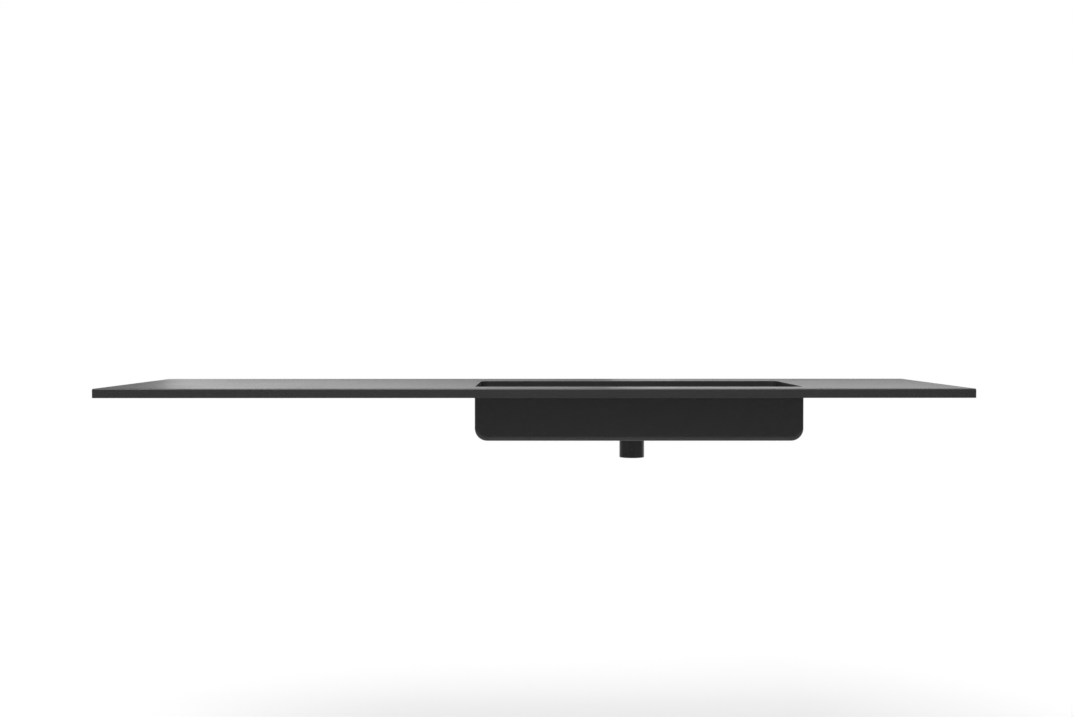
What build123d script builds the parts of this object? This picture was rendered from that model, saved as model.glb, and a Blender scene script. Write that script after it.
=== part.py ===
from build123d import *
from math import cos, radians, sin
import os

# Washbasin: a wide slab top, a bowl bonded under it right of the middle, and a push-open waste.
# Millimetres. X runs to the right, Y towards the wall and Z up. The origin is the middle of the
# slab's rear lower edge, where the top meets both the wall and whatever it is laid on.

# Slab
top_width = 1600.0
top_depth = 500.0
top_thickness = 17.0
edge_radius = 2.5
lower_arris = 0.5

# Bowl, measured inside
bowl_width = 604.0
bowl_depth = 282.0
bowl_wall = 6.0
bowl_corner_radius = 14.0
bowl_centre_from_right = 603.0
bowl_back_ledge = 130.0
bowl_drop = 84.8
bowl_base_radius = 23.3
bowl_edge_radius = 8.0
floor_radius = 13.5
floor_at_waste = 10.0
floor_fall = 3.5
floor_pad = 76.0

# Joint between bowl and slab: the bowl's rim is let into the underside, and the cut-out stands
# back from the bowl's inside by the reveal
reveal = 6.0
lip_radius = 1.0
rim_width = 12.0
rebate_depth = 6.0
rim_gap = 0.3
bond_thickness = 0.5

# Waste body, washers and nut
waste_from_back = 80.0
waste_hole_gap = 1.5
recess_gap = 0.75
flange_radius = 31.5
flange_thickness = 2.2
flange_proud = 0.2
flange_seal_thickness = 1.5
flange_seal_inset = 1.0
thread_radius = 20.95
thread_gap = 0.05
body_bore_radius = 18.75
body_length = 34.5
mouth_radius = 21.5
washer_radius = 29.0
washer_thickness = 3.0
washer_collar_height = 2.0
washer_collar_gap = 0.3
washer_bore_gap = 0.1
slip_washer_thickness = 1.0
nut_radius = 30.0
nut_height = 7.0
nut_flange_height = 2.0
nut_hub_radius = 25.5
nut_lug_width = 6.0
nut_lug_inset = 1.0
nut_lug_count = 6

# Outlet stub
tail_radius = 25.0
tail_reach = 49.3
tail_wall = 3.0
tail_gap = 1.0
tail_chamfer = 0.6
tail_ledge_height = 3.0
tail_seal_thickness = 2.0

# Push-open mechanism
plug_travel = 9.0
latch_drop = 1.5
cap_radius = 31.0
cap_thickness = 5.0
cap_crown = 1.0
cap_edge_radius = 1.8
cap_hollow_depth = 2.0
cap_hollow_slope = 1.0
cap_rim_width = 2.0
closing_gap = 0.3
seat_gap = 0.4
plug_seal_thickness = 2.5
hub_radius = 7.0
hub_flange_radius = 9.0
hub_flange_thickness = 1.5
hub_end_radius = 6.0
hub_end_length = 2.0
stud_radius = 3.0
stud_length = 8.0
stud_tip_gap = 0.5
lock_nut_flats = 10.0
lock_nut_height = 3.2
landing_gap = 0.5
rod_radius = 4.5
guide_gap = 0.06
guide_height = 6.0
guide_slot_width = 1.6
guide_slot_depth = 1.2
ring_height = 4.0
ring_gap = 0.15
ring_bore_gap = 0.25
pin_radius = 0.9
pin_press_gap = 0.02
track_depth = 1.2
track_gap = 0.15
foot_radius = 5.5
foot_height = 2.0
foot_gap = 0.5
chamber_gap = 0.4
spring_space = 22.0
spring_wire_radius = 0.5
spring_coil_radius = 4.3
spring_turns = 7.5
spring_seat_gap = 0.1
barrel_radius = 8.5
barrel_bore_radius = 7.0
barrel_floor = 2.0
barrel_vent_radius = 1.2
barrel_flats = 19.0
barrel_collar_height = 4.0
barrel_nut_height = 4.0
bridge_boss_radius = 10.5
bridge_height = 8.0
bridge_arm_width = 3.0
bridge_arm_count = 3

# Places that follow from the sizes above
bowl_x = top_width / 2 - bowl_centre_from_right
bowl_y = -bowl_back_ledge - bowl_depth / 2
bowl_outer_width = bowl_width + 2 * bowl_wall
bowl_outer_depth = bowl_depth + 2 * bowl_wall
cutout_width = bowl_width + 2 * reveal
cutout_depth = bowl_depth + 2 * reveal
cutout_radius = bowl_corner_radius + reveal
rim_outer_width = bowl_outer_width + 2 * rim_width
rim_outer_depth = bowl_outer_depth + 2 * rim_width
rim_outer_radius = bowl_edge_radius + rim_width
bowl_bottom_z = -bowl_drop
bowl_rim_z = rebate_depth - bond_thickness
floor_z = bowl_bottom_z + floor_at_waste
floor_edge_z = floor_z + floor_fall

waste_x = bowl_x
waste_y = -bowl_back_ledge - waste_from_back
recess_depth = flange_seal_thickness + flange_thickness - flange_proud
seat_z = floor_z - recess_depth
flange_under_z = seat_z + flange_seal_thickness
flange_top_z = flange_under_z + flange_thickness
body_bottom_z = flange_under_z - body_length
waste_hole_radius = thread_radius + waste_hole_gap
slip_washer_z = bowl_bottom_z - washer_thickness
nut_top_z = slip_washer_z - slip_washer_thickness
nut_bottom_z = nut_top_z - nut_height
tail_top_z = nut_bottom_z - tail_gap
tail_bottom_z = bowl_bottom_z - tail_reach
ledge_z = body_bottom_z - tail_seal_thickness

# The plug is drawn open, which is how its spring leaves it
cap_under_z = flange_top_z + closing_gap + plug_travel
hub_flange_z = cap_under_z - plug_seal_thickness
hub_end_z = hub_flange_z - hub_flange_thickness - hub_end_length
rod_top_z = hub_end_z - lock_nut_height
guide_top_z = rod_top_z - plug_travel - landing_gap
ring_top_z = guide_top_z - guide_height - ring_gap
ring_bottom_z = ring_top_z - ring_height
ring_step_z = ring_bottom_z - ring_gap
ring_middle_z = (ring_top_z + ring_bottom_z) / 2
foot_top_z = ring_bottom_z - foot_gap
foot_bottom_z = foot_top_z - foot_height
chamber_floor_z = foot_bottom_z - spring_space
barrel_bottom_z = chamber_floor_z - barrel_floor
collar_under_z = guide_top_z - barrel_collar_height
bridge_under_z = collar_under_z - bridge_height
track_floor_radius = rod_radius - track_depth

waste_level = Plane(origin=(waste_x, waste_y, 0))
waste_section = Plane(origin=(waste_x, waste_y, 0), x_dir=(1, 0, 0), z_dir=(0, -1, 0))
waste_axis = Axis((waste_x, waste_y, 0), (0, 0, 1))
bowl_level = Plane(origin=(bowl_x, bowl_y, 0))

os.makedirs("parts", exist_ok=True)


def save(piece, name, place=Location()):
    placed = piece.part.moved(place)
    placed.label = name
    export_step(placed, f"parts/{name}.step")


def turned(profile):
    """A ring or disc turned about the waste's axis, from its half section as (radius, height) points."""
    with BuildPart() as ring:
        with BuildSketch(waste_section):
            with BuildLine():
                Polyline(*profile, close=True)
            make_face()
        revolve(axis=waste_axis)
    return ring


# Slab with its cut-out. Front and ends are eased, the rear edge stays square against the wall.
with BuildPart() as countertop:
    with BuildSketch(Plane.XY):
        with Locations((0, -top_depth / 2)):
            Rectangle(top_width, top_depth)
    extrude(amount=top_thickness)
    fillet(countertop.edges().filter_by(Axis.Z).group_by(Axis.Y)[0], radius=edge_radius)
    slab_top = countertop.faces().sort_by(Axis.Z)[-1]
    fillet(slab_top.edges().sort_by(Axis.Y)[:-1], radius=edge_radius)
    slab_underside = countertop.faces().sort_by(Axis.Z)[0]
    chamfer(slab_underside.edges().sort_by(Axis.Y)[:-1], length=lower_arris)
    with BuildSketch(bowl_level):
        RectangleRounded(cutout_width, cutout_depth, cutout_radius)
    extrude(amount=top_thickness, mode=Mode.SUBTRACT)
    lip = countertop.faces().sort_by(Axis.Z)[-1].inner_wires()[0]
    fillet(lip.edges(), radius=lip_radius)
    # The rebate underneath takes the bowl's rim and hides the joint.
    with BuildSketch(bowl_level):
        RectangleRounded(
            rim_outer_width + 2 * rim_gap,
            rim_outer_depth + 2 * rim_gap,
            rim_outer_radius + rim_gap,
        )
    extrude(amount=rebate_depth, mode=Mode.SUBTRACT)
save(countertop, "countertop")

# Adhesive between the bowl's rim and the rebate.
with BuildPart() as bond_seam:
    with BuildSketch(bowl_level.offset(bowl_rim_z)):
        RectangleRounded(rim_outer_width, rim_outer_depth, rim_outer_radius)
        RectangleRounded(cutout_width, cutout_depth, cutout_radius, mode=Mode.SUBTRACT)
    extrude(amount=bond_thickness)
save(bond_seam, "bond_seam")

# Bowl: one casting, level outside. Inside, four flat falls run to a pad around the waste.
with BuildPart() as bowl:
    with BuildSketch(bowl_level.offset(bowl_bottom_z)):
        Rectangle(bowl_outer_width, bowl_outer_depth)
    extrude(amount=-bowl_bottom_z)
    underside = bowl.faces().sort_by(Axis.Z)[0]
    fillet(underside.edges().filter_by(Axis.Y), radius=bowl_base_radius)
    back_face = bowl.faces().sort_by(Axis.Y)[-1]
    front_face = bowl.faces().sort_by(Axis.Y)[0]
    rounded = front_face.edges().sort_by(Axis.Z)[:-1] + back_face.edges().sort_by(Axis.Z)[:-1]
    fillet(rounded, radius=bowl_edge_radius)
    with BuildSketch(bowl_level):
        RectangleRounded(rim_outer_width, rim_outer_depth, rim_outer_radius)
    extrude(amount=bowl_rim_z)
    with BuildSketch(bowl_level.offset(floor_edge_z)):
        RectangleRounded(bowl_width, bowl_depth, bowl_corner_radius)
    extrude(amount=bowl_rim_z - floor_edge_z, mode=Mode.SUBTRACT)
    fillet(bowl.faces(Select.LAST).sort_by(Axis.Z)[0].edges(), radius=floor_radius)
    with BuildSketch(bowl_level.offset(floor_edge_z)):
        Rectangle(bowl_width - 2 * floor_radius, bowl_depth - 2 * floor_radius)
    with BuildSketch(waste_level.offset(floor_z)):
        Rectangle(floor_pad, floor_pad)
    loft(ruled=True, mode=Mode.SUBTRACT)
    with BuildSketch(waste_level.offset(floor_z)):
        Circle(flange_radius + recess_gap)
    extrude(amount=-recess_depth, mode=Mode.SUBTRACT)
    with BuildSketch(waste_level.offset(seat_z)):
        Circle(waste_hole_radius)
    extrude(amount=bowl_bottom_z - seat_z, mode=Mode.SUBTRACT)
save(bowl, "bowl")

# Rubber ring under the flange.
flange_seal = turned(
    [
        (waste_hole_radius, seat_z),
        (flange_radius - flange_seal_inset, seat_z),
        (flange_radius - flange_seal_inset, flange_under_z),
        (waste_hole_radius, flange_under_z),
    ]
)
save(flange_seal, "flange_seal")

# Waste body: flange, threaded tube, coned mouth, and the bridge that carries the mechanism.
mouth_bottom_z = flange_top_z - (mouth_radius - body_bore_radius)
bridge_bore_radius = barrel_radius + thread_gap
with BuildPart() as waste_body:
    with BuildSketch(waste_section):
        with BuildLine():
            Polyline(
                (body_bore_radius, body_bottom_z),
                (thread_radius, body_bottom_z),
                (thread_radius, flange_under_z),
                (flange_radius, flange_under_z),
                (flange_radius, flange_top_z),
                (mouth_radius, flange_top_z),
                (body_bore_radius, mouth_bottom_z),
                close=True,
            )
        make_face()
    revolve(axis=waste_axis)
    flange_rim = waste_body.edges().filter_by(GeomType.CIRCLE).group_by(SortBy.RADIUS)[-1]
    fillet(flange_rim.sort_by(Axis.Z)[-1], radius=flange_thickness / 2)
    with BuildSketch(waste_level.offset(bridge_under_z)):
        Circle(bridge_boss_radius)
        arm_reach = (body_bore_radius + thread_radius) / 2
        with PolarLocations(0, bridge_arm_count, start_angle=90):
            Rectangle(arm_reach, bridge_arm_width, align=(Align.MIN, Align.CENTER))
        Circle(bridge_bore_radius, mode=Mode.SUBTRACT)
    extrude(amount=bridge_height)
save(waste_body, "waste_body")

# Washers and nut under the bowl.
washer_bore_radius = thread_radius + washer_bore_gap
collar_radius = waste_hole_radius - washer_collar_gap
under_washer = turned(
    [
        (washer_bore_radius, slip_washer_z),
        (washer_radius, slip_washer_z),
        (washer_radius, bowl_bottom_z),
        (collar_radius, bowl_bottom_z),
        (washer_bore_radius + washer_collar_gap, bowl_bottom_z + washer_collar_height),
        (washer_bore_radius, bowl_bottom_z + washer_collar_height),
    ]
)
save(under_washer, "under_washer")

slip_washer = turned(
    [
        (washer_bore_radius, nut_top_z),
        (washer_radius, nut_top_z),
        (washer_radius, slip_washer_z),
        (washer_bore_radius, slip_washer_z),
    ]
)
save(slip_washer, "slip_washer")

with BuildPart() as back_nut:
    with BuildSketch(waste_level.offset(nut_top_z)):
        Circle(nut_radius)
    extrude(amount=-nut_flange_height)
    with BuildSketch(waste_level.offset(nut_bottom_z)):
        Circle(nut_hub_radius)
        with PolarLocations(0, nut_lug_count):
            Rectangle(nut_radius - nut_lug_inset, nut_lug_width, align=(Align.MIN, Align.CENTER))
    extrude(amount=nut_height - nut_flange_height)
    with BuildSketch(waste_level.offset(nut_top_z)):
        Circle(thread_radius + thread_gap)
    extrude(amount=-nut_height, mode=Mode.SUBTRACT)
save(back_nut, "back_nut")

# Outlet stub: a threaded socket above an inner ledge, and a plain bore below it.
socket_radius = thread_radius + thread_gap
tail_bore_radius = tail_radius - tail_wall
with BuildPart() as tail_pipe:
    with BuildSketch(waste_section):
        with BuildLine():
            Polyline(
                (socket_radius, tail_top_z),
                (tail_radius, tail_top_z),
                (tail_radius, tail_bottom_z),
                (tail_bore_radius, tail_bottom_z),
                (tail_bore_radius, ledge_z - tail_ledge_height),
                (body_bore_radius, ledge_z - tail_ledge_height),
                (body_bore_radius, ledge_z),
                (socket_radius, ledge_z),
                close=True,
            )
        make_face()
    revolve(axis=waste_axis)
    outer_rims = tail_pipe.edges().filter_by(GeomType.CIRCLE).group_by(SortBy.RADIUS)[-1]
    chamfer(outer_rims, length=tail_chamfer)
save(tail_pipe, "tail_pipe")

tail_seal = turned(
    [
        (body_bore_radius, ledge_z),
        (thread_radius, ledge_z),
        (thread_radius, body_bottom_z),
        (body_bore_radius, body_bottom_z),
    ]
)
save(tail_seal, "tail_seal")

# Barrel of the push-open mechanism: a hexagon collar rests on the bridge, a nut holds it below.
ring_seat_radius = barrel_bore_radius + thread_gap
chamber_radius = foot_radius + chamber_gap
with BuildPart() as cartridge_barrel:
    with BuildSketch(waste_level.offset(barrel_bottom_z)):
        Circle(barrel_radius)
    extrude(amount=guide_top_z - barrel_bottom_z)
    with BuildSketch(waste_level.offset(collar_under_z)):
        RegularPolygon(barrel_flats / 2, 6, major_radius=False)
    extrude(amount=barrel_collar_height)
    with BuildSketch(waste_level.offset(guide_top_z)):
        Circle(ring_seat_radius)
    extrude(amount=ring_step_z - guide_top_z, mode=Mode.SUBTRACT)
    with BuildSketch(waste_level.offset(ring_step_z)):
        Circle(chamber_radius)
    extrude(amount=chamber_floor_z - ring_step_z, mode=Mode.SUBTRACT)
    with BuildSketch(waste_level.offset(chamber_floor_z)):
        Circle(barrel_vent_radius)
    extrude(amount=-barrel_floor, mode=Mode.SUBTRACT)
save(cartridge_barrel, "cartridge_barrel")

with BuildPart() as barrel_nut:
    with BuildSketch(waste_level.offset(bridge_under_z)):
        RegularPolygon(barrel_flats / 2, 6, major_radius=False)
        Circle(bridge_bore_radius, mode=Mode.SUBTRACT)
    extrude(amount=-barrel_nut_height)
save(barrel_nut, "barrel_nut")

# Guide: a threaded collar with a screwdriver slot, which steadies the plunger's rod.
with BuildPart() as guide_cap:
    with BuildSketch(waste_level.offset(guide_top_z)):
        Circle(barrel_bore_radius)
        Circle(rod_radius + guide_gap, mode=Mode.SUBTRACT)
    extrude(amount=-guide_height)
    with BuildSketch(waste_level.offset(guide_top_z)):
        Rectangle(2 * barrel_bore_radius, guide_slot_width)
    extrude(amount=-guide_slot_depth, mode=Mode.SUBTRACT)
save(guide_cap, "guide_cap")

# Ring that turns one step at each press, and the two pins that it carries.
ring_radius = ring_seat_radius - ring_gap
pin_side = Plane(origin=(waste_x, waste_y, ring_middle_z), x_dir=(0, 1, 0), z_dir=(1, 0, 0))
with BuildPart() as index_ring:
    with BuildSketch(waste_level.offset(ring_bottom_z)):
        Circle(ring_radius)
        Circle(rod_radius + ring_bore_gap, mode=Mode.SUBTRACT)
    extrude(amount=ring_height)
    with BuildSketch(pin_side):
        Circle(pin_radius + pin_press_gap)
    extrude(amount=ring_radius, both=True, mode=Mode.SUBTRACT)
save(index_ring, "index_ring")

pin_inner = track_floor_radius + track_gap
pin_outer = ring_radius - ring_gap
with BuildPart() as index_pins:
    with BuildSketch(pin_side.offset(pin_inner)):
        Circle(pin_radius)
    extrude(amount=pin_outer - pin_inner)
    mirror(about=Plane(origin=(waste_x, waste_y, 0), z_dir=(1, 0, 0)))
save(index_pins, "index_pins")

# The plunger's track goes twice round the rod. Each round has a long leg up, a dip that holds the
# plug shut, and a long leg back, each an eighth of a turn. The rise of a leg is the pins' height.
leg_turn = 45.0
legs_in_circle = 360.0 / leg_turn
track_half_width = pin_radius + track_gap
track_latch_z = ring_middle_z + plug_travel - latch_drop


def track_leg(rise, start_z, left_handed):
    """The cutter for one leg of the track, about the Z axis and starting over the X axis."""
    with BuildPart() as leg:
        with BuildLine() as path:
            Helix(
                pitch=rise * legs_in_circle,
                height=rise,
                radius=rod_radius,
                center=(0, 0, start_z),
                lefthand=left_handed,
            )
        along = path.line
        with BuildSketch(Plane(origin=along @ 0, x_dir=(1, 0, 0), z_dir=along % 0)):
            Rectangle(2 * track_depth, 2 * track_half_width)
        sweep(is_frenet=True)
    return leg.part


track_legs = [
    (0, track_leg(plug_travel, ring_middle_z, left_handed=False)),
    (0, track_leg(plug_travel, ring_middle_z, left_handed=True)),
    (2 * leg_turn, track_leg(latch_drop, track_latch_z, left_handed=False)),
    (2 * leg_turn, track_leg(latch_drop, track_latch_z, left_handed=True)),
]
track_top_z = ring_middle_z + plug_travel
track_corners = [
    (0, ring_middle_z),
    (leg_turn, track_top_z),
    (2 * leg_turn, track_latch_z),
    (3 * leg_turn, track_top_z),
]

# The plunger is made about the Z axis and then set on the waste's axis.
with BuildPart() as plunger:
    with BuildSketch(Plane.XY.offset(foot_bottom_z)):
        Circle(foot_radius)
    extrude(amount=foot_height)
    with BuildSketch(Plane.XY.offset(foot_bottom_z)):
        Circle(rod_radius)
    extrude(amount=rod_top_z - foot_bottom_z)
    with BuildSketch(Plane.XY.offset(rod_top_z)):
        Circle(stud_radius)
    extrude(amount=stud_length)
    for turn, height in track_corners:
        for angle in (radians(turn), radians(turn + 180)):
            outward = Plane((0, 0, height), z_dir=(cos(angle), sin(angle), 0))
            with BuildSketch(outward.offset(track_floor_radius)):
                Circle(track_half_width)
            extrude(amount=2 * track_depth, mode=Mode.SUBTRACT)
    for turn, leg_cutter in track_legs:
        with PolarLocations(0, 2, start_angle=turn):
            add(leg_cutter, mode=Mode.SUBTRACT)
save(plunger, "plunger", place=waste_level.location)

# Return spring, between the plunger's foot and the barrel's floor.
spring_bottom_z = chamber_floor_z + spring_seat_gap + spring_wire_radius
spring_height = spring_space - 2 * (spring_seat_gap + spring_wire_radius)
with BuildPart() as return_spring:
    with BuildLine() as coil:
        Helix(
            pitch=spring_height / spring_turns,
            height=spring_height,
            radius=spring_coil_radius,
            center=(waste_x, waste_y, spring_bottom_z),
        )
    wire = coil.line
    with BuildSketch(Plane(origin=wire @ 0, x_dir=(1, 0, 0), z_dir=wire % 0)):
        Circle(spring_wire_radius)
    sweep(is_frenet=True)
save(return_spring, "return_spring")

# Plug: a crowned cover with a hub that holds the rubber disc and screws on to the plunger.
stud_top_z = rod_top_z + stud_length
with BuildPart() as plug_cap:
    with BuildSketch(waste_section):
        with BuildLine():
            crown_top = (0, cap_under_z + cap_thickness)
            crown_edge = (cap_radius, cap_under_z + cap_thickness - cap_crown)
            TangentArc(crown_top, crown_edge, tangent=(1, 0))
            Polyline(
                crown_edge,
                (cap_radius, cap_under_z),
                (cap_radius - cap_rim_width, cap_under_z),
                (cap_radius - cap_rim_width - cap_hollow_slope, cap_under_z + cap_hollow_depth),
                (mouth_radius + cap_hollow_slope, cap_under_z + cap_hollow_depth),
                (mouth_radius, cap_under_z),
                (hub_radius, cap_under_z),
                (hub_radius, hub_flange_z),
                (hub_flange_radius, hub_flange_z),
                (hub_flange_radius, hub_flange_z - hub_flange_thickness),
                (hub_end_radius, hub_flange_z - hub_flange_thickness),
                (hub_end_radius, hub_end_z),
                (stud_radius + thread_gap, hub_end_z),
                (stud_radius + thread_gap, stud_top_z + stud_tip_gap),
                (0, stud_top_z + stud_tip_gap),
                crown_top,
            )
        make_face()
    revolve(axis=waste_axis)
    level_rims = plug_cap.edges().filter_by(Plane.XY).group_by(SortBy.RADIUS)[-1]
    fillet(level_rims.sort_by(Axis.Z)[-1], radius=cap_edge_radius)
save(plug_cap, "plug_cap")

seal_top_radius = mouth_radius - seat_gap
plug_seal = turned(
    [
        (hub_radius, hub_flange_z),
        (seal_top_radius - plug_seal_thickness, hub_flange_z),
        (seal_top_radius, cap_under_z),
        (hub_radius, cap_under_z),
    ]
)
save(plug_seal, "plug_seal")

with BuildPart() as plug_lock_nut:
    with BuildSketch(waste_level.offset(rod_top_z)):
        RegularPolygon(lock_nut_flats / 2, 6, major_radius=False)
        Circle(stud_radius + thread_gap, mode=Mode.SUBTRACT)
    extrude(amount=lock_nut_height)
save(plug_lock_nut, "plug_lock_nut")
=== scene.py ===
# %% [markdown]
# A washbasin of the slab kind: a thin, wide top of anthracite solid surface with one rectangular
# bowl bonded under it, and a push-open waste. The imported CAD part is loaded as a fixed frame. Its
# shapes are right to a fraction of a millimetre, so this script gives them their materials, adds
# what is too fine for the CAD model, and sets up the studio of the photograph.

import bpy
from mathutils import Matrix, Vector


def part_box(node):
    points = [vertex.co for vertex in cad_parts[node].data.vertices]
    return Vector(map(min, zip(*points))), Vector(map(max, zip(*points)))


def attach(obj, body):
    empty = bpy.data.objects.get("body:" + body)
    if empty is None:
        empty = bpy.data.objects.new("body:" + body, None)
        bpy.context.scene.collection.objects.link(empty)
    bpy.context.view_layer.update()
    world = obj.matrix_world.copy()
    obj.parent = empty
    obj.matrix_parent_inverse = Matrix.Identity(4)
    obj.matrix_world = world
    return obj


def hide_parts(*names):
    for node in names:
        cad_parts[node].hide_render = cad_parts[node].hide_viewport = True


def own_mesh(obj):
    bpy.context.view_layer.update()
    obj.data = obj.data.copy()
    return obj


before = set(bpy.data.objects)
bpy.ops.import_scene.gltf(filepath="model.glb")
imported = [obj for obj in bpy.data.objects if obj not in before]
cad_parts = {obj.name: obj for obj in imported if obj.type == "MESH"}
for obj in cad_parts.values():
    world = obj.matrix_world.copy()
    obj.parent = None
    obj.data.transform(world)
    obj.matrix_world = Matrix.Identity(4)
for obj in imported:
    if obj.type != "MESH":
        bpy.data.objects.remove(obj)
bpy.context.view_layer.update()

# %% [markdown]
# Every length in this file is written in millimetres, as on a workshop drawing, and turned into
# Blender's metres by one factor. Colours are written as the hex codes that a paint chart gives, and
# one function turns them into the linear light that the shaders work in.

# %% Units and colours
import math

import bmesh
import bpy
from mathutils import Matrix, Vector

MM = 0.001
WHITE = (1, 1, 1, 1)


def linear(hex_code):
    """An sRGB hex colour as linear red, green, blue and alpha."""
    shares = [int(hex_code[i : i + 2], 16) / 255 for i in (1, 3, 5)]
    return [s / 12.92 if s <= 0.04045 else ((s + 0.055) / 1.055) ** 2.4 for s in shares] + [1.0]


print("#808080 is", round(linear("#808080")[0], 3), "as linear light")

# %% [markdown]
# Materials are small trees of nodes, so one function adds a node, sets it up and links what goes
# into it. A texture's scale is worked out from the size of the real feature. A noise texture gives
# values from 0 to 1, but nearly all of them lie near the middle, so that part is what gets spread
# over a range of colours or roughness.

# %% Helpers for materials
# A Mix node has three sockets called A and three called B, one for each kind of data, so its
# colour sockets are picked by number.
MIX_A = 6
MIX_B = 7
MIX_RESULT = 2

NOISE_LOW = 0.3
NOISE_HIGH = 0.7


def add_node(owner, kind, settings=None, links=None):
    """Adds a node to a material or world. Settings are attributes or sockets, links feed sockets."""
    tree = owner.node_tree
    node = tree.nodes.new(kind)
    for name, value in (settings or {}).items():
        if isinstance(name, str) and hasattr(node, name):
            setattr(node, name, value)
        else:
            node.inputs[name].default_value = value
    for name, source in (links or {}).items():
        tree.links.new(source, node.inputs[name])
    return node


def new_material(name):
    """An empty material and its output node."""
    material = bpy.data.materials.new(name)
    material.use_nodes = True
    material.node_tree.nodes.clear()
    output = add_node(material, "ShaderNodeOutputMaterial")
    return material, output


def per_metre(feature_mm):
    """The texture scale that gives features of about this size."""
    return 1 / (feature_mm * MM)


print("a pattern of 1 mm features has the scale", per_metre(1.0))

# %% [markdown]
# The slab and the bowl are solid surface: acrylic resin cast with mineral flour. From afar the eye
# gets a deep, even grey with hardly any grain, and from close by fine mineral grains. The grains
# could be drawn as tiny faces, but hundreds of thousands of them would cost far more than a pattern
# of cells. Casting also leaves faint clouds in the resin, several centimetres across.

# %% Solid surface: its cast colour
CLOUD_MM = 70.0
GRAIN_PITCH_MM = 1.1
PALEST_GRAIN = 0.8

# A grain is full out to the first of these shares of the pitch and ends at the second. It is a
# pale one where its cell's random number is above the last.
GRAIN_FULL = 0.2
GRAIN_END = 0.3
PALE_ABOVE = 0.55


def cast_colour(material, place):
    """A colour socket: the resin with its clouds and its pale grains."""
    clouds = add_node(
        material,
        "ShaderNodeTexNoise",
        {"Scale": per_metre(CLOUD_MM), "Detail": 3.0, "Roughness": 0.55},
        {"Vector": place},
    )
    resin = add_node(
        material,
        "ShaderNodeMix",
        {"data_type": "RGBA", MIX_A: linear("#292929"), MIX_B: linear("#2D2D2D")},
        {"Factor": clouds.outputs["Fac"]},
    )

    # Each cell of a Voronoi pattern has a round grain in its middle, and the cell's colour is
    # random, so one of its channels picks the cells whose grain is a pale one.
    cells = add_node(
        material,
        "ShaderNodeTexVoronoi",
        {"Scale": per_metre(GRAIN_PITCH_MM), "Randomness": 1.0},
        {"Vector": place},
    )
    grain = add_node(
        material,
        "ShaderNodeMapRange",
        {"From Min": GRAIN_END, "From Max": GRAIN_FULL, "To Min": 0.0, "To Max": 1.0},
        {"Value": cells.outputs["Distance"]},
    )
    chance = add_node(material, "ShaderNodeSeparateColor", links={"Color": cells.outputs["Color"]})
    pale = add_node(
        material,
        "ShaderNodeMapRange",
        {"From Min": PALE_ABOVE, "From Max": 1.0, "To Min": 0.0, "To Max": PALEST_GRAIN},
        {"Value": chance.outputs["Red"]},
    )
    speck = add_node(
        material,
        "ShaderNodeMath",
        {"operation": "MULTIPLY"},
        {0: grain.outputs["Result"], 1: pale.outputs["Result"]},
    )
    speckled = add_node(
        material,
        "ShaderNodeMix",
        {"data_type": "RGBA", MIX_B: linear("#5A5A5A")},
        {"Factor": speck.outputs["Value"], MIX_A: resin.outputs[MIX_RESULT]},
    )
    return speckled.outputs[MIX_RESULT]


print("grains every", GRAIN_PITCH_MM, "mm and clouds of", CLOUD_MM, "mm")

# %% [markdown]
# The slab is sanded to a satin finish with a random-orbit sander, which gives a soft reflection
# that gets strong at a flat angle. The sander dwells a little longer here and there, and that
# changes the sheen. Its marks are finer than a pixel, so they are drawn a little coarser and very
# shallow.

# %% Solid surface: its sanded skin
POLISH_MM = 160.0
SANDING_MM = 1.6


def make_solid_surface():
    material, output = new_material("sanded_solid_surface")
    place = add_node(material, "ShaderNodeTexCoord").outputs["Object"]
    dwell = add_node(
        material,
        "ShaderNodeTexNoise",
        {"Scale": per_metre(POLISH_MM), "Detail": 2.0, "Roughness": 0.5},
        {"Vector": place},
    )
    sheen = add_node(
        material,
        "ShaderNodeMapRange",
        {"From Min": NOISE_LOW, "From Max": NOISE_HIGH, "To Min": 0.33, "To Max": 0.37},
        {"Value": dwell.outputs["Fac"]},
    )
    sanding = add_node(
        material,
        "ShaderNodeTexNoise",
        {"Scale": per_metre(SANDING_MM), "Detail": 2.0, "Roughness": 0.6},
        {"Vector": place},
    )
    marks = add_node(
        material,
        "ShaderNodeBump",
        {"Strength": 0.25, "Distance": 0.02 * MM},
        {"Height": sanding.outputs["Fac"]},
    )
    shader = add_node(
        material,
        "ShaderNodeBsdfPrincipled",
        {"IOR": 1.49},
        {
            "Base Color": cast_colour(material, place),
            "Roughness": sheen.outputs["Result"],
            "Normal": marks.outputs["Normal"],
        },
    )
    material.node_tree.links.new(shader.outputs["BSDF"], output.inputs["Surface"])
    return material


solid_surface = make_solid_surface()
print("made", solid_surface.name)

# %% [markdown]
# The bowl hangs in the slab on a layer of adhesive that is tinted to match. Cured adhesive is the
# same resin without the mineral flour, so it is a shade darker and a little glossier, with small
# bubbles in it. A Voronoi pattern has round cells, which is what bubbles look like, and only the
# middles of its cells are used. There the adhesive is bumped into shallow pits and painted darker,
# which is painted shade in the pits.

# %% Joint adhesive
BUBBLE_PITCH_MM = 1.2
BUBBLE_END = 0.25


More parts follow.
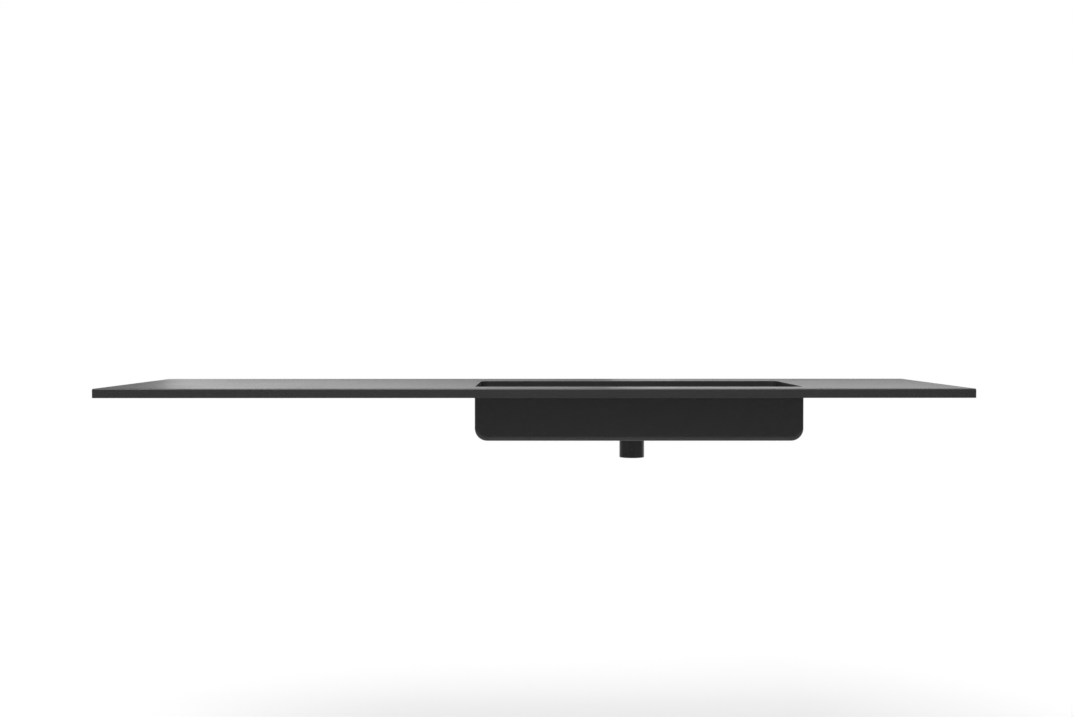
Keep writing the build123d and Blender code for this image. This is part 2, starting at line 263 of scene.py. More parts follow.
def make_joint_adhesive():
    material, output = new_material("tinted_joint_adhesive")
    place = add_node(material, "ShaderNodeTexCoord").outputs["Object"]
    bubbles = add_node(
        material,
        "ShaderNodeTexVoronoi",
        {"Scale": per_metre(BUBBLE_PITCH_MM), "Randomness": 1.0},
        {"Vector": place},
    )
    hollow = add_node(
        material,
        "ShaderNodeMapRange",
        {"From Min": 0.0, "From Max": BUBBLE_END, "To Min": 0.0, "To Max": 1.0},
        {"Value": bubbles.outputs["Distance"]},
    )
    # The middles of the bubbles are pits, and the colour goes darker there: painted shade over the
    # adhesive's own tint.
    tint_and_pit_shade = add_node(
        material,
        "ShaderNodeMix",
        {"data_type": "RGBA", MIX_A: linear("#222222"), MIX_B: linear("#2A2A2A")},
        {"Factor": hollow.outputs["Result"]},
    )
    gloss = add_node(
        material,
        "ShaderNodeMapRange",
        {"From Min": 0.0, "From Max": 1.0, "To Min": 0.4, "To Max": 0.3},
        {"Value": hollow.outputs["Result"]},
    )
    pits = add_node(
        material,
        "ShaderNodeBump",
        {"Strength": 0.4, "Distance": 0.1 * MM},
        {"Height": hollow.outputs["Result"]},
    )
    shader = add_node(
        material,
        "ShaderNodeBsdfPrincipled",
        {"IOR": 1.5},
        {
            "Base Color": tint_and_pit_shade.outputs[MIX_RESULT],
            "Roughness": gloss.outputs["Result"],
            "Normal": pits.outputs["Normal"],
        },
    )
    material.node_tree.links.new(shader.outputs["BSDF"], output.inputs["Surface"])
    return material


joint_adhesive = make_joint_adhesive()
print("made", joint_adhesive.name)

# %% [markdown]
# The waste's pieces are round, so the patterns on them are centred on the waste's axis. All objects
# sit at the origin, so a Mapping node shifts their Object coordinates to that axis.

# %% The waste's axis
cap_low, cap_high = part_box("plug_cap")
waste_centre = (cap_low + cap_high) / 2
print("axis of the waste at x, y =", round(waste_centre.x / MM, 2), round(waste_centre.y / MM, 2))


def from_waste_axis(material):
    """Object coordinates shifted so that the waste's axis is their Z axis."""
    place = add_node(material, "ShaderNodeTexCoord").outputs["Object"]
    shift = (-waste_centre.x, -waste_centre.y, 0)
    centred = add_node(material, "ShaderNodeMapping", {"Location": shift}, {"Vector": place})
    return centred.outputs["Vector"]


# %% [markdown]
# The plug's cap and the waste body are brass under a matt black powder coat. Powder melts into a
# skin with a faint orange peel, a ripple about two millimetres across, and fine pores in it. Where
# fingers press the cap the coat is burnished, so its roughness goes down towards the middle. The
# ripple is a noise used as bump, which costs no faces.

# %% Powder coat
PEEL_MM = 2.2
PORE_MM = 0.5
TOUCHED_RADIUS_MM = 26.0


def make_powder_coat():
    material, output = new_material("matt_black_powder_coat")
    place = from_waste_axis(material)
    peel = add_node(
        material,
        "ShaderNodeTexNoise",
        {"Scale": per_metre(PEEL_MM), "Detail": 1.0, "Roughness": 0.4},
        {"Vector": place},
    )
    pores = add_node(
        material,
        "ShaderNodeTexNoise",
        {"Scale": per_metre(PORE_MM), "Detail": 2.0, "Roughness": 0.6},
        {"Vector": place},
    )
    tone = add_node(
        material,
        "ShaderNodeMix",
        {"data_type": "RGBA", MIX_A: linear("#1D1D1D"), MIX_B: linear("#282828")},
        {"Factor": pores.outputs["Fac"]},
    )

    # The length of the flattened position is the distance from the waste's axis.
    flat = add_node(material, "ShaderNodeMapping", {"Scale": (1, 1, 0)}, {"Vector": place})
    reach = add_node(
        material,
        "ShaderNodeVectorMath",
        {"operation": "LENGTH"},
        {"Vector": flat.outputs["Vector"]},
    )
    burnish = add_node(
        material,
        "ShaderNodeMapRange",
        {"From Min": 0.0, "From Max": TOUCHED_RADIUS_MM * MM, "To Min": 0.4, "To Max": 0.5},
        {"Value": reach.outputs["Value"]},
    )
    ripple = add_node(
        material,
        "ShaderNodeBump",
        {"Strength": 0.5, "Distance": 0.12 * MM},
        {"Height": peel.outputs["Fac"]},
    )
    skin = add_node(
        material,
        "ShaderNodeBump",
        {"Strength": 0.4, "Distance": 0.03 * MM},
        {"Height": pores.outputs["Fac"], "Normal": ripple.outputs["Normal"]},
    )
    shader = add_node(
        material,
        "ShaderNodeBsdfPrincipled",
        {"IOR": 1.5},
        {
            "Base Color": tone.outputs[MIX_RESULT],
            "Roughness": burnish.outputs["Result"],
            "Normal": skin.outputs["Normal"],
        },
    )
    material.node_tree.links.new(shader.outputs["BSDF"], output.inputs["Surface"])
    return material


powder_coat = make_powder_coat()
print("made", powder_coat.name)

# %% [markdown]
# The nuts and the plunger are turned from brass bar. A lathe leaves fine grooves: rings on the end
# faces, and lines round the barrel. Two wave patterns, one of rings about the waste's axis and one
# of level bands, are added up. On an end face only the rings change, and on a barrel only the
# bands, so one material is right for both. Real feed marks are about a tenth of a millimetre apart
# and would only flicker, so they are drawn half a millimetre apart. Brass that has been handled
# goes browner in clouds.

# %% Turned brass
FEED_MM = 0.5
TARNISH_MM = 9.0

# The Wave texture draws 20 radians for each unit, so this share of a unit is one whole wave.
WAVE_SHARE = 2 * math.pi / 20


def make_turned_brass():
    material, output = new_material("turned_brass")
    place = from_waste_axis(material)
    waves = []
    for kind, direction in (("RINGS", "rings_direction"), ("BANDS", "bands_direction")):
        wave = add_node(
            material,
            "ShaderNodeTexWave",
            {
                "wave_type": kind,
                direction: "Z",
                "Scale": WAVE_SHARE * per_metre(FEED_MM),
                "Distortion": 0.4,
                "Detail": 1.0,
            },
            {"Vector": place},
        )
        waves.append(wave.outputs["Fac"])
    grooves = add_node(
        material,
        "ShaderNodeMath",
        {"operation": "ADD"},
        {0: waves[0], 1: waves[1]},
    )
    tarnish = add_node(
        material,
        "ShaderNodeTexNoise",
        {"Scale": per_metre(TARNISH_MM), "Detail": 3.0, "Roughness": 0.6},
        {"Vector": place},
    )
    tone = add_node(
        material,
        "ShaderNodeMix",
        {"data_type": "RGBA", MIX_A: linear("#E2CC8C"), MIX_B: linear("#C9A666")},
        {"Factor": tarnish.outputs["Fac"]},
    )
    dullness = add_node(
        material,
        "ShaderNodeMapRange",
        {"From Min": NOISE_LOW, "From Max": NOISE_HIGH, "To Min": 0.22, "To Max": 0.38},
        {"Value": tarnish.outputs["Fac"]},
    )
    cut = add_node(
        material,
        "ShaderNodeBump",
        {"Strength": 0.3, "Distance": 0.02 * MM},
        {"Height": grooves.outputs["Value"]},
    )
    shader = add_node(
        material,
        "ShaderNodeBsdfPrincipled",
        {"Metallic": 1.0},
        {
            "Base Color": tone.outputs[MIX_RESULT],
            "Roughness": dullness.outputs["Result"],
            "Normal": cut.outputs["Normal"],
        },
    )
    material.node_tree.links.new(shader.outputs["BSDF"], output.inputs["Surface"])
    return material


turned_brass = make_turned_brass()
print("made", turned_brass.name)

# %% [markdown]
# The spring and the ring's pins are drawn stainless wire. A die scores wire along its length. The
# scores can't follow the coil in Object coordinates, but the wire is thin and its turns are nearly
# level, so a noise that is drawn out in X and Y looks the same.

# %% Drawn steel wire
SCORE_MM = 0.15
SCORE_STRETCH = 0.08


def make_drawn_steel():
    material, output = new_material("drawn_stainless_wire")
    place = from_waste_axis(material)
    along = add_node(
        material,
        "ShaderNodeMapping",
        {"Scale": (SCORE_STRETCH, SCORE_STRETCH, 1)},
        {"Vector": place},
    )
    scores = add_node(
        material,
        "ShaderNodeTexNoise",
        {"Scale": per_metre(SCORE_MM), "Detail": 2.0, "Roughness": 0.6},
        {"Vector": along.outputs["Vector"]},
    )
    tone = add_node(
        material,
        "ShaderNodeMix",
        {"data_type": "RGBA", MIX_A: linear("#C9C9C6"), MIX_B: linear("#A9A8A4")},
        {"Factor": scores.outputs["Fac"]},
    )
    dullness = add_node(
        material,
        "ShaderNodeMapRange",
        {"From Min": NOISE_LOW, "From Max": NOISE_HIGH, "To Min": 0.18, "To Max": 0.3},
        {"Value": scores.outputs["Fac"]},
    )
    scored = add_node(
        material,
        "ShaderNodeBump",
        {"Strength": 0.3, "Distance": 0.01 * MM},
        {"Height": scores.outputs["Fac"]},
    )
    shader = add_node(
        material,
        "ShaderNodeBsdfPrincipled",
        {"Metallic": 1.0},
        {
            "Base Color": tone.outputs[MIX_RESULT],
            "Roughness": dullness.outputs["Result"],
            "Normal": scored.outputs["Normal"],
        },
    )
    material.node_tree.links.new(shader.outputs["BSDF"], output.inputs["Surface"])
    return material


drawn_steel = make_drawn_steel()
print("made", drawn_steel.name)

# %% [markdown]
# The outlet stub is black polypropylene, and the waste's inner parts are white acetal. Both are
# moulded, so both take the fine spark-eroded grain of the tool, and both show soft flow clouds. One
# function makes either, because only the colours differ.

# %% Moulded plastics
MOULD_GRAIN_MM = 0.7
FLOW_MM = 22.0


def make_moulded_plastic(name, dark_hex, light_hex):
    material, output = new_material(name)
    place = from_waste_axis(material)
    grain = add_node(
        material,
        "ShaderNodeTexNoise",
        {"Scale": per_metre(MOULD_GRAIN_MM), "Detail": 2.0, "Roughness": 0.5},
        {"Vector": place},
    )
    flow = add_node(
        material,
        "ShaderNodeTexNoise",
        {"Scale": per_metre(FLOW_MM), "Detail": 2.0, "Distortion": 0.8},
        {"Vector": place},
    )
    tone = add_node(
        material,
        "ShaderNodeMix",
        {"data_type": "RGBA", MIX_A: linear(dark_hex), MIX_B: linear(light_hex)},
        {"Factor": flow.outputs["Fac"]},
    )
    gloss = add_node(
        material,
        "ShaderNodeMapRange",
        {"From Min": NOISE_LOW, "From Max": NOISE_HIGH, "To Min": 0.28, "To Max": 0.36},
        {"Value": flow.outputs["Fac"]},
    )
    grained = add_node(
        material,
        "ShaderNodeBump",
        {"Strength": 0.4, "Distance": 0.04 * MM},
        {"Height": grain.outputs["Fac"]},
    )
    shader = add_node(
        material,
        "ShaderNodeBsdfPrincipled",
        {"IOR": 1.49},
        {
            "Base Color": tone.outputs[MIX_RESULT],
            "Roughness": gloss.outputs["Result"],
            "Normal": grained.outputs["Normal"],
        },
    )
    material.node_tree.links.new(shader.outputs["BSDF"], output.inputs["Surface"])
    return material


black_polypropylene = make_moulded_plastic("black_polypropylene", "#1B1B1B", "#212121")
white_acetal = make_moulded_plastic("white_acetal", "#E4E3DD", "#EEEDE8")
print("made", black_polypropylene.name, "and", white_acetal.name)

# %% [markdown]
# The seals are moulded rubber. New rubber is nearly black, with a grey bloom of wax that comes to
# its surface in patches, and it scatters light so evenly that it hardly shines.

# %% Seal rubber
BLOOM_MM = 6.0
RUBBER_GRAIN_MM = 0.6


def make_seal_rubber():
    material, output = new_material("seal_rubber")
    place = from_waste_axis(material)
    bloom = add_node(
        material,
        "ShaderNodeTexNoise",
        {"Scale": per_metre(BLOOM_MM), "Detail": 4.0, "Roughness": 0.65},
        {"Vector": place},
    )
    tone = add_node(
        material,
        "ShaderNodeMix",
        {"data_type": "RGBA", MIX_A: linear("#191919"), MIX_B: linear("#2B2A29")},
        {"Factor": bloom.outputs["Fac"]},
    )
    dullness = add_node(
        material,
        "ShaderNodeMapRange",
        {"From Min": NOISE_LOW, "From Max": NOISE_HIGH, "To Min": 0.62, "To Max": 0.8},
        {"Value": bloom.outputs["Fac"]},
    )
    grain = add_node(
        material,
        "ShaderNodeTexNoise",
        {"Scale": per_metre(RUBBER_GRAIN_MM), "Detail": 2.0, "Roughness": 0.6},
        {"Vector": place},
    )
    grained = add_node(
        material,
        "ShaderNodeBump",
        {"Strength": 0.4, "Distance": 0.03 * MM},
        {"Height": grain.outputs["Fac"]},
    )
    shader = add_node(
        material,
        "ShaderNodeBsdfPrincipled",
        {"IOR": 1.52},
        {
            "Base Color": tone.outputs[MIX_RESULT],
            "Roughness": dullness.outputs["Result"],
            "Normal": grained.outputs["Normal"],
        },
    )
    material.node_tree.links.new(shader.outputs["BSDF"], output.inputs["Surface"])
    return material


seal_rubber = make_seal_rubber()
print("made", seal_rubber.name)

# %% [markdown]
# The shapes of the CAD pieces are right as they stand, so only their material slots are filled. The
# slot is set on the object, which leaves the mesh as it was packed. The return spring is the one
# piece that a later cell replaces.

# %% Give every CAD piece its finish
finishes = {
    solid_surface: ["countertop", "bowl"],
    joint_adhesive: ["bond_seam"],
    seal_rubber: ["flange_seal", "under_washer", "tail_seal", "plug_seal"],
    powder_coat: ["plug_cap", "waste_body"],
    turned_brass: ["back_nut", "barrel_nut", "plug_lock_nut", "plunger"],
    drawn_steel: ["index_pins", "return_spring"],
    black_polypropylene: ["tail_pipe"],
    white_acetal: ["slip_washer", "cartridge_barrel", "guide_cap", "index_ring"],
}
for material, nodes in finishes.items():
    for node in nodes:
        piece = bpy.data.objects[node]
        for slot in piece.material_slots:
            slot.link = "OBJECT"
            slot.material = material
        print(node, "has", len(piece.material_slots), "slot of", material.name)

# %% [markdown]
# New pieces are shaped in a bmesh, which is Blender's mesh while it is being worked on. Once it is
# done, one helper turns it into an object. The object sits at the origin and its place is in its
# mesh, as on the CAD pieces, so that patterns on Object coordinates stay where they are.

# %% From a bmesh to an object
def make_object(work, name, material):
    """An object at the origin with the shape of the bmesh, in one material."""
    mesh = bpy.data.meshes.new(name)
    work.to_mesh(mesh)
    work.free()
    mesh.materials.append(material)
    made = bpy.data.objects.new(name, mesh)
    bpy.context.scene.collection.objects.link(made)
    return made


# %% [markdown]
# When the bowl is pressed into its rebate, adhesive is squeezed out of both ends of the joint.
# Above, a fingertip wipes it to a small hollow fillet in the corner between the cut-out and the
# bowl's edge. Below, it is scraped level in the narrow gap round the rim. The CAD model leaves both
# out, and the eye misses them: the gap would look like a black crack. Each is a rounded rectangle
# with a thin section, so both start from one face whose corners are bevelled.

# %% Helpers for the squeezed-out adhesive
CORNER_MM = 20.0
CORNER_STEPS = 10

bowl_low, bowl_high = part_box("bowl")
bowl_middle = (bowl_low + bowl_high) / 2
print("bowl from", tuple(bowl_low / MM), "to", tuple(bowl_high / MM))


def rounded_rectangle(width_mm, depth_mm, corner_mm, level_mm):
    """A bmesh with one level face about the bowl's middle, its four corners rounded."""
    work = bmesh.new()
    bmesh.ops.create_grid(work, x_segments=1, y_segments=1, size=0.5)
    bmesh.ops.scale(work, vec=(width_mm * MM, depth_mm * MM, 1), verts=work.verts)
    bmesh.ops.bevel(
        work,
        geom=work.verts[:],
        affect="VERTICES",
        offset=corner_mm * MM,
        segments=CORNER_STEPS,
        profile=0.5,
        material=-1,
    )
    middle = Vector((bowl_middle.x, bowl_middle.y, level_mm * MM))
    bmesh.ops.translate(work, vec=middle, verts=work.verts)
    work.faces.ensure_lookup_table()
    return work


def finish_bead(work, name):
    """Makes a bead of adhesive of the bmesh and lets it ride with the basin."""
    bmesh.ops.recalc_face_normals(work, faces=work.faces)
    bead = make_object(work, name, joint_adhesive)
    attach(bead, "basin")
    print(name, "has", len(bead.data.polygons), "faces")


# %% [markdown]
# The fillet starts on the cut-out's wall. Each inset steps inwards and down along a quarter circle,
# until the line lies on the bowl's edge. Then the wall line is drawn down into the corner, and a
# ring of faces closes the section underneath. A curve with a custom section could make the fillet
# too, but its corners would need hand-set handles, while an inset keeps its distance from the line
# by itself.

# %% Adhesive fillet
CUTOUT_MM = (616.0, 294.0)
EDGE_LEVEL_MM = 5.5
FILLET_MM = 0.6
FILLET_STEPS = 5

work = rounded_rectangle(*CUTOUT_MM, CORNER_MM, EDGE_LEVEL_MM + FILLET_MM)
inner = work.faces[0]
for step in range(FILLET_STEPS):
    start = math.pi / 2 * step / FILLET_STEPS
    end = math.pi / 2 * (step + 1) / FILLET_STEPS
    inwards = FILLET_MM * MM * (math.cos(start) - math.cos(end))
    down = FILLET_MM * MM * (math.sin(end) - math.sin(start))
    bmesh.ops.inset_region(work, faces=[inner], thickness=inwards, use_boundary=True)
    bmesh.ops.translate(work, vec=(0, 0, -down), verts=inner.verts[:])
inner_line = inner.edges[:]
bmesh.ops.delete(work, geom=[inner], context="FACES_ONLY")

wall_line = [edge for edge in work.edges if edge.is_boundary and edge not in inner_line]
drawn = bmesh.ops.extrude_edge_only(work, edges=wall_line)["geom"]
corner_verts = {part for part in drawn if isinstance(part, bmesh.types.BMVert)}
drawn_edges = [part for part in drawn if isinstance(part, bmesh.types.BMEdge)]
corner_line = [edge for edge in drawn_edges if corner_verts.issuperset(edge.verts)]
bmesh.ops.translate(work, vec=(0, 0, -FILLET_MM * MM), verts=list(corner_verts))
bmesh.ops.bridge_loops(work, edges=inner_line + corner_line)
finish_bead(work, "adhesive_fillet")

# %% [markdown]
# The fill is a thin upright ring in the gap round the bowl's rim. It is drawn as a flat ring just
# above the slab's underside, where the adhesive was scraped level, and then extruded upwards.

# %% Adhesive fill
RIM_GAP_MM = 0.3
SCRAPED_LEVEL_MM = 0.1
FILL_HEIGHT_MM = 2.0

rim_size_mm = (bowl_high - bowl_low) / MM
work = rounded_rectangle(
    rim_size_mm.x + 2 * RIM_GAP_MM,
    rim_size_mm.y + 2 * RIM_GAP_MM,
    CORNER_MM + RIM_GAP_MM,
    SCRAPED_LEVEL_MM,
)
inner = work.faces[0]
bmesh.ops.inset_region(work, faces=[inner], thickness=RIM_GAP_MM * MM, use_boundary=True)
bmesh.ops.delete(work, geom=[inner], context="FACES_ONLY")
stood = bmesh.ops.extrude_face_region(work, geom=work.faces[:])["geom"]
upper_verts = [part for part in stood if isinstance(part, bmesh.types.BMVert)]
bmesh.ops.translate(work, vec=(0, 0, FILL_HEIGHT_MM * MM), verts=upper_verts)
finish_bead(work, "adhesive_fill")

# %% [markdown]
# The return spring stands between the barrel's floor and the plunger's foot. The CAD coil is right
# at rest, but its mesh can't shorten, and the pressed plunger would run into it. So a new coil
# takes its place, as high as the old one. Each closed end turn climbs by one wire, and the open
# turns between them climb by the rest.

# %% Measures of the return spring
WIRE_RADIUS_MM = 0.5
COIL_RADIUS_MM = 4.3
OPEN_TURNS = 5.5
CLOSED_TURNS = 1

spring_low, spring_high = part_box("return_spring")
foot_of_spring = Vector((waste_centre.x, waste_centre.y, spring_low.z))
free_height = spring_high.z - spring_low.z
closed_rise = 2 * WIRE_RADIUS_MM * MM
open_rise = free_height - 2 * WIRE_RADIUS_MM * MM - 2 * closed_rise

# %% [markdown]
# A curve with a bevel could make the coil, but spinning a small circle while it climbs gives the
# closed end turns of a real compression spring: one turn that lies on itself, the open turns, and
# one more closed turn. The circle is stood upright at the coil's radius before it is spun.

# %% Spin the return spring
STEPS_IN_TURN = 32
WIRE_SIDES = 10

work = bmesh.new()
upright = Matrix.Rotation(math.pi / 2, 4, "X")
start_of_wire = Matrix.Translation((COIL_RADIUS_MM * MM, 0, WIRE_RADIUS_MM * MM))
bmesh.ops.create_circle(work, cap_ends=True, segments=WIRE_SIDES, radius=WIRE_RADIUS_MM * MM)
bmesh.ops.transform(work, matrix=start_of_wire @ upright, verts=work.verts)
leading = work.edges[:]
stretches = [(CLOSED_TURNS, closed_rise), (OPEN_TURNS, open_rise), (CLOSED_TURNS, closed_rise)]
for turns, rise in stretches:
    steps = round(turns * STEPS_IN_TURN)
    spun = bmesh.ops.spin(
        work,
        geom=leading,
        cent=(0, 0, 0),
        axis=(0, 0, 1),
        dvec=(0, 0, rise / steps),
        angle=2 * math.pi * turns,
        steps=steps,
    )
    leading = [part for part in spun["geom_last"] if isinstance(part, bmesh.types.BMEdge)]
bmesh.ops.contextual_create(work, geom=leading)
bmesh.ops.recalc_face_normals(work, faces=work.faces)
bmesh.ops.translate(work, vec=foot_of_spring, verts=work.verts)
spring = make_object(work, "compression_spring", drawn_steel)
spring.data.polygons.foreach_set("use_smooth", [True] * len(spring.data.polygons))
print("spring has", len(spring.data.polygons), "faces")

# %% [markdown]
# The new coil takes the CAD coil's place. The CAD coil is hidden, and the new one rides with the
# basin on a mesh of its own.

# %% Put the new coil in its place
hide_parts("return_spring")
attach(spring, "basin")
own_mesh(spring)

# %% [markdown]
# The camera stands 2.4 metres in front of the slab and only about ten centimetres above it, so the
# top is seen as a thin bright band and the bowl hangs under it. Its place and lens come from the
# photograph: the slab's near and far widths give the distance, and its level edges give the height.

# %% Camera
EYE_MM = (12.8, -2916.6, 121.05)
LENS_MM = 44.85
SENSOR_MM = 36.0
PITCH_DOWN = 0.0205
YAW = 0.0028
ROLL = 0.00047
FARTHEST_SEEN_MM = 50000.0

lens = bpy.data.cameras.new("camera")
lens.lens = LENS_MM
lens.sensor_width = SENSOR_MM
lens.clip_end = FARTHEST_SEEN_MM * MM
camera = bpy.data.objects.new("camera", lens)
camera.location = Vector(EYE_MM) * MM
camera.rotation_euler = (math.pi / 2 - PITCH_DOWN, ROLL, YAW)
bpy.context.scene.collection.objects.link(camera)
bpy.context.scene.camera = camera
print("camera at", tuple(round(value, 4) for value in camera.location))

# %% [markdown]
# The photograph's ground is plain white. White light would wash the dark basin out, so the white is
# only shown, not used as light: a Light Path node tells rays that come straight from the camera, or
# by way of a reflection or a clear solid, from the rays that gather light. Those rays see white,
# and all others see the world at a plain level.

# %% World
WORLD_LEVEL = 0.22
SHOWN_LEVEL = 1.0


def seen_rays(owner):
    """A socket that is 1 for camera, glossy and transmission rays and 0 for rays that light."""
    path = add_node(owner, "ShaderNodeLightPath")
    mirrored = add_node(
        owner,
        "ShaderNodeMath",
        {"operation": "MAXIMUM"},
        {0: path.outputs["Is Camera Ray"], 1: path.outputs["Is Glossy Ray"]},
    )
    clear = add_node(
        owner,
        "ShaderNodeMath",
        {"operation": "MAXIMUM"},
        {0: mirrored.outputs["Value"], 1: path.outputs["Is Transmission Ray"]},
    )
    return clear.outputs["Value"]


world = bpy.data.worlds.new("white_studio")
world.use_nodes = True
world.node_tree.nodes.clear()
light = add_node(world, "ShaderNodeBackground", {"Color": WHITE, "Strength": WORLD_LEVEL})
shown = add_node(world, "ShaderNodeBackground", {"Color": WHITE, "Strength": SHOWN_LEVEL})
either = add_node(
    world,
    "ShaderNodeMixShader",
    links={0: seen_rays(world), 1: light.outputs["Background"], 2: shown.outputs["Background"]},
)
add_node(world, "ShaderNodeOutputWorld", links={"Surface": either.outputs["Shader"]})
bpy.context.scene.world = world
print("world lights at", WORLD_LEVEL, "and shows white")

# %% [markdown]
# The floor is pale paper: a plain diffuse white that keeps the basin's shadow, with some light of
# its own for the rays that show it. That light grows with the distance from the basin, so that the
# paper runs into the white ground with no horizon. Rays that come by way of a reflection get less
# of it, because the basin's lower edges mirror the floor and are hardly brighter than its front in
# the photograph. Seen from below the paper is clear, so that the basin's underside can be looked
# at.

# %% Floor paper
NEAR_MM = 1500.0
FAR_MM = 4500.0
NEAR_LIFT = 0.65
FAR_LIFT = 1.0
LESS_WHEN_MIRRORED = 0.42


def make_floor_paper():
    material, output = new_material("pale_floor_paper")
    paper = add_node(material, "ShaderNodeBsdfDiffuse", {"Color": linear("#E8E8E8")})
    reach = add_node(
        material,
        "ShaderNodeVectorMath",
        {"operation": "LENGTH"},
        {0: add_node(material, "ShaderNodeTexCoord").outputs["Object"]},
    )
    growing = add_node(
        material,
        "ShaderNodeMapRange",
        {"From Min": NEAR_MM * MM, "From Max": FAR_MM * MM, "To Min": NEAR_LIFT, "To Max": FAR_LIFT},
        {"Value": reach.outputs["Value"]},
    )
    seen = add_node(
        material,
        "ShaderNodeMath",
        {"operation": "MULTIPLY"},
        {0: seen_rays(material), 1: growing.outputs["Result"]},
    )
    mirrored = add_node(material, "ShaderNodeLightPath").outputs["Is Glossy Ray"]
    lift = add_node(
        material,
        "ShaderNodeMath",
        {"operation": "MULTIPLY_ADD", 1: -LESS_WHEN_MIRRORED},
        {0: mirrored, 2: seen.outputs["Value"]},
    )
    glow = add_node(
        material,
        "ShaderNodeEmission",
        {"Color": WHITE},
        {"Strength": lift.outputs["Value"]},
    )
    lit = add_node(
        material,
        "ShaderNodeAddShader",
        links={0: paper.outputs["BSDF"], 1: glow.outputs["Emission"]},
    )
    side = add_node(material, "ShaderNodeNewGeometry").outputs["Backfacing"]
    clear = add_node(material, "ShaderNodeBsdfTransparent")
    both = add_node(
        material,
        "ShaderNodeMixShader",
        links={0: side, 1: lit.outputs["Shader"], 2: clear.outputs["BSDF"]},
    )
    material.node_tree.links.new(both.outputs["Shader"], output.inputs["Surface"])
    return material


floor_paper = make_floor_paper()
print("made", floor_paper.name)

# %% [markdown]
# A basin's slab is fixed about 85 centimetres above the floor, so the floor lies that far down. It
# is one flat sheet, and the helper that makes it serves for every other sheet of the studio. The
# sheets are stage, which belongs to the picture and not to the basin.

# %% Floor
FLOOR_DEPTH_MM = 850.0
FLOOR_SIZE_MM = 14000.0


def flat_sheet(name, width_mm, depth_mm, place, material):
    """A flat rectangle of the stage. The place is a matrix, and it is worked into the mesh."""
    work = bmesh.new()
    bmesh.ops.create_grid(work, x_segments=1, y_segments=1, size=0.5)
    bmesh.ops.scale(work, vec=(width_mm * MM, depth_mm * MM, 1), verts=work.verts)
    bmesh.ops.transform(work, matrix=place, verts=work.verts)
    sheet = make_object(work, name, material)
    return sheet


floor_place = Matrix.Translation((0, 0, -FLOOR_DEPTH_MM * MM))
flat_sheet("floor", FLOOR_SIZE_MM, FLOOR_SIZE_MM, floor_place, floor_paper)
print("floor", FLOOR_SIZE_MM, "mm square,", FLOOR_DEPTH_MM, "mm down")

# %% [markdown]
# One large soft box stands high in front of the basin, a little to the left, and looks down at it.
# It lights the slab's front and leaves the bowl in the slab's shadow, as in the photograph.
# Together with the world it lights a level white card to a little under 0.9, so a colour renders
# about as it is written.

# %% Soft box above the camera
SOFT_BOX_MM = (3000.0, 1400.0)
SOFT_BOX_AT_MM = (-400.0, -1900.0, 2100.0)
SOFT_BOX_AIM_MM = (0.0, -250.0, 0.0)
SOFT_BOX_WATTS = 74.0

box_light = bpy.data.lights.new("soft_box", "AREA")
box_light.shape = "RECTANGLE"
box_light.size = SOFT_BOX_MM[0] * MM
box_light.size_y = SOFT_BOX_MM[1] * MM
box_light.energy = SOFT_BOX_WATTS
soft_box = bpy.data.objects.new("soft_box", box_light)
soft_box.location = Vector(SOFT_BOX_AT_MM) * MM
aim = Vector(SOFT_BOX_AIM_MM) - Vector(SOFT_BOX_AT_MM)
soft_box.rotation_euler = aim.to_track_quat("-Z", "Y").to_euler()
soft_box.visible_camera = False
bpy.context.scene.collection.objects.link(soft_box)
print("soft box of", SOFT_BOX_WATTS, "W")

# %% [markdown]
# At this flat angle the slab's top is a blurred mirror, and what it mirrors makes its shading: dark
# at the left end, then bright and falling towards the middle of the bowl, then bright again. In a
# studio those are reflector panels behind the basin. They are drawn as glowing sheets that only
# glossy rays see, so they neither light the basin nor show behind it. Each glows evenly from top to
# bottom, and from one level to another across its width.

# %% A reflector that only glossy rays see
PANEL_REACH_MM = (-FLOOR_DEPTH_MM, 3000.0)


def panel_glow(name, left, right, left_level, right_level):
    """A glow that goes evenly from one level at the left place to another at the right place."""
    material, output = new_material(name)
    along = (right - left).normalized()
    reach = add_node(
        material,
        "ShaderNodeVectorMath",
        {"operation": "DOT_PRODUCT", 1: along},
        {0: add_node(material, "ShaderNodeTexCoord").outputs["Object"]},
    )
    level = add_node(
        material,
        "ShaderNodeMapRange",
        {
            "From Min": left.dot(along),
            "From Max": right.dot(along),
            "To Min": left_level,
            "To Max": right_level,
        },
        {"Value": reach.outputs["Value"]},
    )
    glow = add_node(
        material,
        "ShaderNodeEmission",
        {"Color": WHITE},
        {"Strength": level.outputs["Result"]},
    )
    material.node_tree.links.new(glow.outputs["Emission"], output.inputs["Surface"])
    return material


def reflector(name, left_mm, right_mm, left_level, right_level, reach_mm=PANEL_REACH_MM):
    """A glowing sheet that stands between two places of the plan, where it has these levels.

    The reach gives the heights of its lower and upper edge.
    """
    lowest_mm, highest_mm = reach_mm
    left = Vector((*left_mm, (lowest_mm + highest_mm) / 2)) * MM
    right = Vector((*right_mm, (lowest_mm + highest_mm) / 2)) * MM
    along = (right - left).normalized()
    heading = math.atan2(along.y, along.x)
    standing = Matrix.Rotation(heading, 4, "Z") @ Matrix.Rotation(math.pi / 2, 4, "X")
    place = Matrix.Translation((left + right) / 2) @ standing

    glow = panel_glow(name + "_glow", left, right, left_level, right_level)
    panel = flat_sheet(name, (right - left).length / MM, highest_mm - lowest_mm, place, glow)
    panel.visible_camera = False
    panel.visible_diffuse = False
    panel.visible_transmission = False
    panel.visible_shadow = False


print("tall panels reach from", PANEL_REACH_MM[0], "to", PANEL_REACH_MM[1], "mm")

# %% [markdown]
# The tall panels stand three metres behind the wall line. The blur would soften the change at the
# top's left end too much, so the bright panel there is brightest along its edge. Panels in one row
# touch each other, and a short list holds each one's name, the places of its left and right edges,
# and the levels of its glow there.

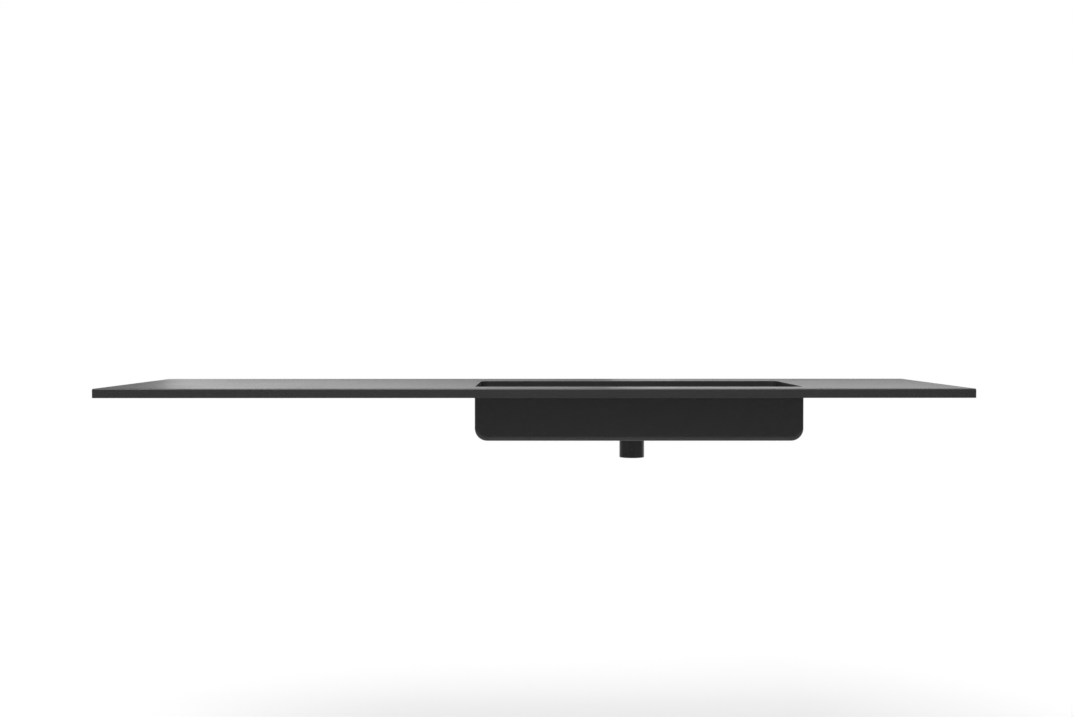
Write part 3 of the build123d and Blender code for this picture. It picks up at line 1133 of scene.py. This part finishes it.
# %% Tall panels behind the basin
PANEL_DISTANCE_MM = 3000.0


def row_of_reflectors(distance_mm, reach_mm, pieces):
    """Reflectors side by side, this far behind the wall line."""
    for name, left_mm, right_mm, left_level, right_level in pieces:
        left_end = (left_mm, distance_mm)
        right_end = (right_mm, distance_mm)
        reflector(name, left_end, right_end, left_level, right_level, reach_mm)
    print(len(pieces), "reflectors", distance_mm, "mm behind the wall line")


row_of_reflectors(
    PANEL_DISTANCE_MM,
    PANEL_REACH_MM,
    [
        ("dim_panel", -6000.0, -1640.0, 0.3, 0.3),
        ("edge_panel", -1640.0, -1350.0, 1.76, 1.43),
        ("left_panel", -1350.0, 240.0, 1.43, 0.76),
        ("narrow_dark_panel", 240.0, 330.0, 0.05, 0.05),
        ("right_panel", 330.0, 4500.0, 1.38, 0.46),
    ],
)

# %% [markdown]
# Low strips close behind the wall line cover more of what the top's far side mirrors than of what
# its near side does, which makes the top a little darker towards the wall. The first strip starts
# nearly as bright as the panel behind it, so that its left end hardly shows in the top.

# %% Low strips behind the wall line
STRIP_DISTANCE_MM = 400.0
STRIP_REACH_MM = (-20.0, 90.0)

row_of_reflectors(
    STRIP_DISTANCE_MM,
    STRIP_REACH_MM,
    [
        ("bright_strip", -900.0, -740.0, 1.4, 0.4),
        ("fading_strip", -740.0, 0.0, 0.4, 0.0),
        ("black_strip", 0.0, 190.0, 0.0, 0.0),
        ("grey_strip", 190.0, 345.0, 0.6, 0.6),
        ("dark_strip", 345.0, 2500.0, 0.0, 0.15),
    ],
)

# %% [markdown]
# The faces that look at the camera mirror the room behind it, and the round stub mirrors its sides
# as well. Grey walls on three sides keep them as dark as in the photograph. The side walls end
# behind the basin, where what is brighter leaves the stub its thin bright edges.

# %% Grey walls in front and beside
GREY_LEVEL = 0.26
GREY_FRONT_MM = -4500.0
GREY_SIDE_MM = 4500.0
GREY_BACK_MM = 1800.0

front_left = (-GREY_SIDE_MM, GREY_FRONT_MM)
front_right = (GREY_SIDE_MM, GREY_FRONT_MM)
reflector("grey_front", front_left, front_right, GREY_LEVEL, GREY_LEVEL)
reflector("grey_left", front_left, (-GREY_SIDE_MM, GREY_BACK_MM), GREY_LEVEL, GREY_LEVEL)
reflector("grey_right", front_right, (GREY_SIDE_MM, GREY_BACK_MM), GREY_LEVEL, GREY_LEVEL)
print("three grey walls at level", GREY_LEVEL)

# %% [markdown]
# Blender's standard view transform turns the linear light into the picture's colours.

# %% Colour handling
bpy.context.scene.view_settings.view_transform = "Standard"
